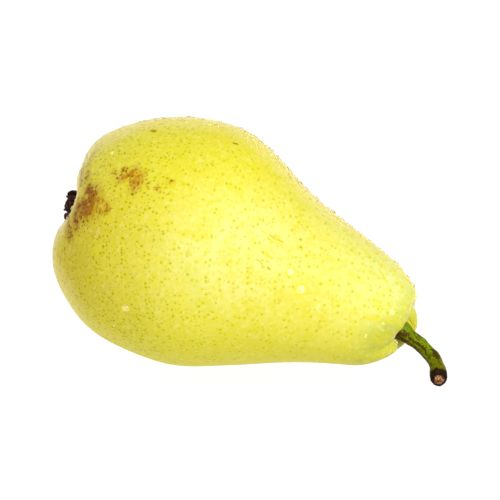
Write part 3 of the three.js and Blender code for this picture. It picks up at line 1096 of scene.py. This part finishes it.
def drop_shape(sides, rings):
    """A dome of water that is 2 across and 1 high, with a foot below its base."""
    bpy.ops.object.select_all(action="DESELECT")
    bpy.ops.mesh.primitive_uv_sphere_add(segments=sides, ring_count=rings, radius=1)
    dome = bpy.context.object
    bpy.ops.object.mode_set(mode="EDIT")
    bpy.ops.mesh.select_all(action="SELECT")
    bpy.ops.mesh.bisect(
        plane_co=(0, 0, -DOME_FOOT), plane_no=(0, 0, 1), use_fill=True, clear_inner=True
    )
    bpy.ops.object.mode_set(mode="OBJECT")
    bpy.ops.object.shade_smooth()
    return dome


def set_drops(name, dome, spots, water):
    """Copies the dome to each spot, a place, normal, length, width, height and turn, and joins the copies."""
    copies = []
    for place, normal, long, wide, high, turn in spots:
        copy = bpy.data.objects.new(name, dome.data.copy())
        shape = (
            Matrix.Translation(place)
            @ normal.to_track_quat("Z", "Y").to_matrix().to_4x4()
            @ Matrix.Rotation(turn, 4, "Z")
            @ Matrix.Diagonal((long / 2, wide / 2, high, 1))
        )
        copy.data.transform(shape)
        bpy.context.scene.collection.objects.link(copy)
        copies.append(copy)
    bpy.ops.object.select_all(action="DESELECT")
    for copy in copies:
        copy.select_set(True)
    bpy.context.view_layer.objects.active = copies[0]
    bpy.ops.object.join()
    drops = bpy.context.object
    drops.name = name
    drops.data.materials.append(water)
    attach(drops, BODY)
    light_up(drops)
    drops.visible_shadow = False


class PearDrops(bpy.types.Operator):
    """Sets the single drops on the near side and along the far shoulder."""

    bl_idname = "pear.drops"
    bl_label = "Single drops"

    def execute(self, context):
        chance = random.Random(context.scene.pear_water.seed)
        shape = shape_of(bpy.data.objects["pear_fruit"])
        dome = drop_shape(*DROP_DETAIL)
        for name, drops, water in (
            ("water_drops", SINGLE_DROPS, make_water("clear water", *CLEAR_WATER)),
            ("water_shoulder", SHOULDER_DROPS, make_water("shaded water", *SHADED_WATER)),
        ):
            spots = [self.spot(chance, shape, *drop) for drop in drops]
            set_drops(name, dome, spots, water)
        bpy.data.objects.remove(dome)
        return {"FINISHED"}

    @staticmethod
    def spot(chance, shape, x, y, diameter):
        place, normal = behind_pixel(shape, x, y)
        size = diameter * MM
        wide = size * chance.uniform(*DROP_WIDTHS)
        return place, normal, size, wide, size * DROP_HEIGHT, chance.uniform(0, math.tau)


class PearDew(bpy.types.Operator):
    """Scatters dew and mist over the far and upper side."""

    bl_idname = "pear.dew"
    bl_label = "Dew"

    def execute(self, context):
        settings = context.scene.pear_water
        chance = random.Random(settings.seed + 1)
        fruit = bpy.data.objects["pear_fruit"]
        # Water greyed with painted shade, for the drops on the far side.
        shaded = make_water("dew", *SHADED_WATER)
        for name, count, diameter, detail in (
            ("water_dew", settings.dew_count, settings.dew_diameter, DEW_DETAIL),
            ("water_mist", settings.mist_count, settings.mist_diameter, MIST_DETAIL),
        ):
            dome = drop_shape(*detail)
            spots = self.scatter(chance, fruit, count, diameter)
            set_drops(name, dome, spots, shaded)
            bpy.data.objects.remove(dome)
        return {"FINISHED"}

    @staticmethod
    def scatter(chance, fruit, count, diameter):
        """Random spots where dew lies, never nearer than about a drop's width."""
        mesh = fruit.data
        faces = [face for face in mesh.polygons if face.normal.z > DROPS_RISING]
        weights = [
            face.area
            * dew_and_rim_sheen_on(face.normal)
            * max(DROPS_FEW, step_between(face.center.x / MM, *DROPS_ALONG_MM))
            for face in faces
        ]
        spots = []
        placed = []
        for face in chance.choices(faces, weights, k=count * TRIES_FOR_EACH):
            if len(spots) == count:
                break
            points = [mesh.vertices[number].co for number in face.vertices]
            shares = [chance.random() for _ in points]
            place = sum((p * s for p, s in zip(points, shares)), Vector()) / sum(shares)
            size = diameter * (SCATTER_LEAST + SCATTER_RANGE * chance.random() ** SCATTER_RARENESS)
            if any((place - other).length < (size + width) / 2 for other, width in placed):
                continue
            placed.append((place, size))
            wide = size * chance.uniform(*DEW_WIDTHS)
            high = size * chance.uniform(*DEW_HEIGHTS)
            spots.append((place, face.normal, size, wide, high, chance.uniform(0, math.tau)))
        return spots


class PearPanel(bpy.types.Panel):
    """Lists the pear's operators and settings in the sidebar."""

    bl_idname = "VIEW3D_PT_pear"
    bl_label = "Pear"
    bl_space_type = "VIEW_3D"
    bl_region_type = "UI"
    bl_category = "Pear"

    def draw(self, context):
        for label, group, operators in PANEL_ROWS:
            box = self.layout.box()
            box.label(text=label)
            for operator in operators:
                box.operator(operator.bl_idname)
            settings = getattr(context.scene, group)
            for key in settings.__annotations__:
                box.prop(settings, key)


SETTINGS = {
    "pear_stage": PearStageSettings,
    "pear_skin": PearSkinSettings,
    "pear_stalk": PearStalkSettings,
    "pear_calyx": PearCalyxSettings,
    "pear_water": PearWaterSettings,
}
OPERATORS = (PearStage, PearFruit, PearStalk, PearCalyx, PearDrops, PearDew)
PANEL_ROWS = (
    ("Stage", "pear_stage", (PearStage,)),
    ("Fruit", "pear_skin", (PearFruit,)),
    ("Stalk", "pear_stalk", (PearStalk,)),
    ("Calyx", "pear_calyx", (PearCalyx,)),
    ("Water", "pear_water", (PearDrops, PearDew)),
)


def register():
    for made in (*SETTINGS.values(), *OPERATORS, PearPanel):
        bpy.utils.register_class(made)
    for name, group in SETTINGS.items():
        setattr(bpy.types.Scene, name, PointerProperty(type=group))


def unregister():
    for name in SETTINGS:
        delattr(bpy.types.Scene, name)
    for made in reversed((*SETTINGS.values(), *OPERATORS, PearPanel)):
        bpy.utils.unregister_class(made)


def main():
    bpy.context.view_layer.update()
    register()
    bpy.ops.pear.stage()
    bpy.ops.pear.fruit()
    bpy.ops.pear.stalk()
    bpy.ops.pear.calyx()
    bpy.ops.pear.drops()
    bpy.ops.pear.dew()


if __name__ == "__main__":
    main()
